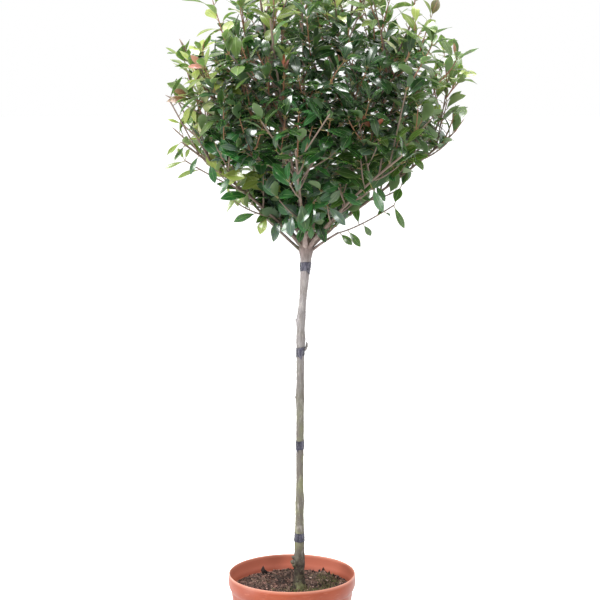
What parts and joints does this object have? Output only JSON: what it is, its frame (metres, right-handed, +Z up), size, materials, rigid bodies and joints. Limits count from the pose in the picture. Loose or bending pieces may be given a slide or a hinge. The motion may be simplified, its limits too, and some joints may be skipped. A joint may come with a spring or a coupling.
{
  "type": "half-standard photinia shrub in a nursery pot",
  "caption": "Garden shrub trained to one clear stem with a loose ball of glossy leaves, standing in a round terracotta-coloured plastic pot of compost.",
  "frame": {"origin": "centre of the pot's flat underside", "axes": "+Z up along the stem, +X to the side towards which the stem leans, -Y to the front"},
  "size_m": [0.6494, 0.6139, 1.482],
  "materials": {
    "pot": "smooth moulded plastic, terracotta orange, satin",
    "compost": "rough bark-and-peat compost with chips and moss",
    "bark": "fissured grey-beige bark, green with algae near the foot",
    "tape": "thin blue-black stretch tape, satin",
    "foliage": "glossy leather-like leaves on red-brown twigs"
  },
  "bodies": {
    "root": {"pot": "pot", "compost": "compost", "stem": "bark", "tie_1": "tape", "tie_2": "tape", "tie_3": "tape", "tie_4": "tape", "bough_low_1": "bark", "bough_low_2": "bark", "bough_low_3": "bark", "bough_low_4": "bark", "bough_low_5": "bark", "bough_low_6": "bark", "bough_low_7": "bark", "bough_mid_1": "bark", "bough_mid_2": "bark", "bough_mid_3": "bark", "bough_mid_4": "bark", "bough_mid_5": "bark", "bough_top_1": "bark", "bough_top_2": "bark", "bough_top_3": "bark", "bough_shoot_right": "bark", "bough_shoot_left": "bark", "foliage_low_1": "foliage", "foliage_low_2": "foliage", "foliage_low_3": "foliage", "foliage_low_4": "foliage", "foliage_low_5": "foliage", "foliage_low_6": "foliage", "foliage_low_7": "foliage", "foliage_mid_1": "foliage", "foliage_mid_2": "foliage", "foliage_mid_3": "foliage", "foliage_mid_4": "foliage", "foliage_mid_5": "foliage", "foliage_top_1": "foliage", "foliage_top_2": "foliage", "foliage_top_3": "foliage", "foliage_shoot_right": "foliage", "foliage_shoot_left": "foliage"}
  },
  "joints": []
}
